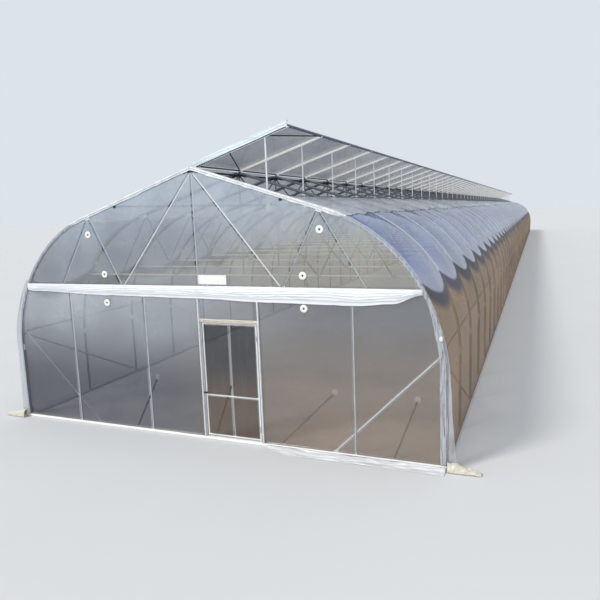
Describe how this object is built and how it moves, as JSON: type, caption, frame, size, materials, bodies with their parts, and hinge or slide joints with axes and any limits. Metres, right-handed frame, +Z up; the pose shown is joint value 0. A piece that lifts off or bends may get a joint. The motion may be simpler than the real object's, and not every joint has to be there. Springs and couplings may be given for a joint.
{
  "type": "1:10 scale model of a polytunnel greenhouse",
  "caption": "Long arched film greenhouse with truss arches, a film gable with a hinged door, a bunched film roll and an open half-roof ridge vent; a 1:10 scale model.",
  "frame": {"origin": "on the ground under the middle of the front arch, at the underside of the front sill", "axes": "+X across the gable to the right seen from the front, +Y along the tunnel away from the front gable, +Z up"},
  "size_m": [1.1128, 9.6427, 0.629],
  "materials": {
    "galvanised_steel": "hot-dip galvanised tube, dull spangle",
    "white_painted_steel": "white paint, chalky",
    "clear_film": "clear polyethylene film, glossy, slightly milky",
    "white_film": "gathered layers of film, white and creased",
    "cream_film": "dirty loose film on the ground",
    "white_plastic": "moulded white plastic",
    "black_plastic": "moulded black plastic"
  },
  "bodies": {
    "building": {"blank_plate": "white_plastic", "door_header": "galvanised_steel", "door_hinge_pins": "galvanised_steel", "film_edge_bands": "white_film", "film_rolls": "white_film", "film_washers": "white_plastic", "front_film_left": "clear_film", "front_film_over_door": "clear_film", "front_film_right": "clear_film", "front_film_upper": "clear_film", "gable_braces": "galvanised_steel", "gable_posts": "galvanised_steel", "gable_sills": "white_painted_steel", "ground_rails": "galvanised_steel", "haunch_tubes_lower": "galvanised_steel", "haunch_tubes_upper": "galvanised_steel", "king_posts": "galvanised_steel", "left_film": "clear_film", "leg_tubes": "galvanised_steel", "loose_ground_film": "cream_film", "rear_film": "clear_film", "ridge_purlin": "galvanised_steel", "right_film": "clear_film", "riser_pipes": "galvanised_steel", "roof_tubes_left": "galvanised_steel", "roof_tubes_right": "galvanised_steel", "side_braces": "galvanised_steel", "slope_purlins": "galvanised_steel", "truss_brackets": "white_painted_steel", "truss_long_diagonals": "galvanised_steel", "truss_struts": "galvanised_steel", "truss_ties": "galvanised_steel", "vent_braces": "galvanised_steel", "vent_casings": "white_painted_steel", "vent_end_bands": "white_film", "vent_film": "clear_film", "vent_long_tubes": "galvanised_steel", "vent_racks": "galvanised_steel", "vent_rafters": "white_painted_steel", "vent_shaft": "galvanised_steel", "washer_rods": "galvanised_steel"},
    "door": {"door_frame": "galvanised_steel", "door_film": "clear_film", "door_latch": "black_plastic", "door_hinge_sleeves": "galvanised_steel"}
  },
  "joints": [
    {"name": "door_hinge", "type": "hinge", "parent": "building", "child": "door", "pos_m": [0.1268, -0.0038, 0.125], "axis": [0, 0, 1], "range_deg": [0, 100]}
  ]
}
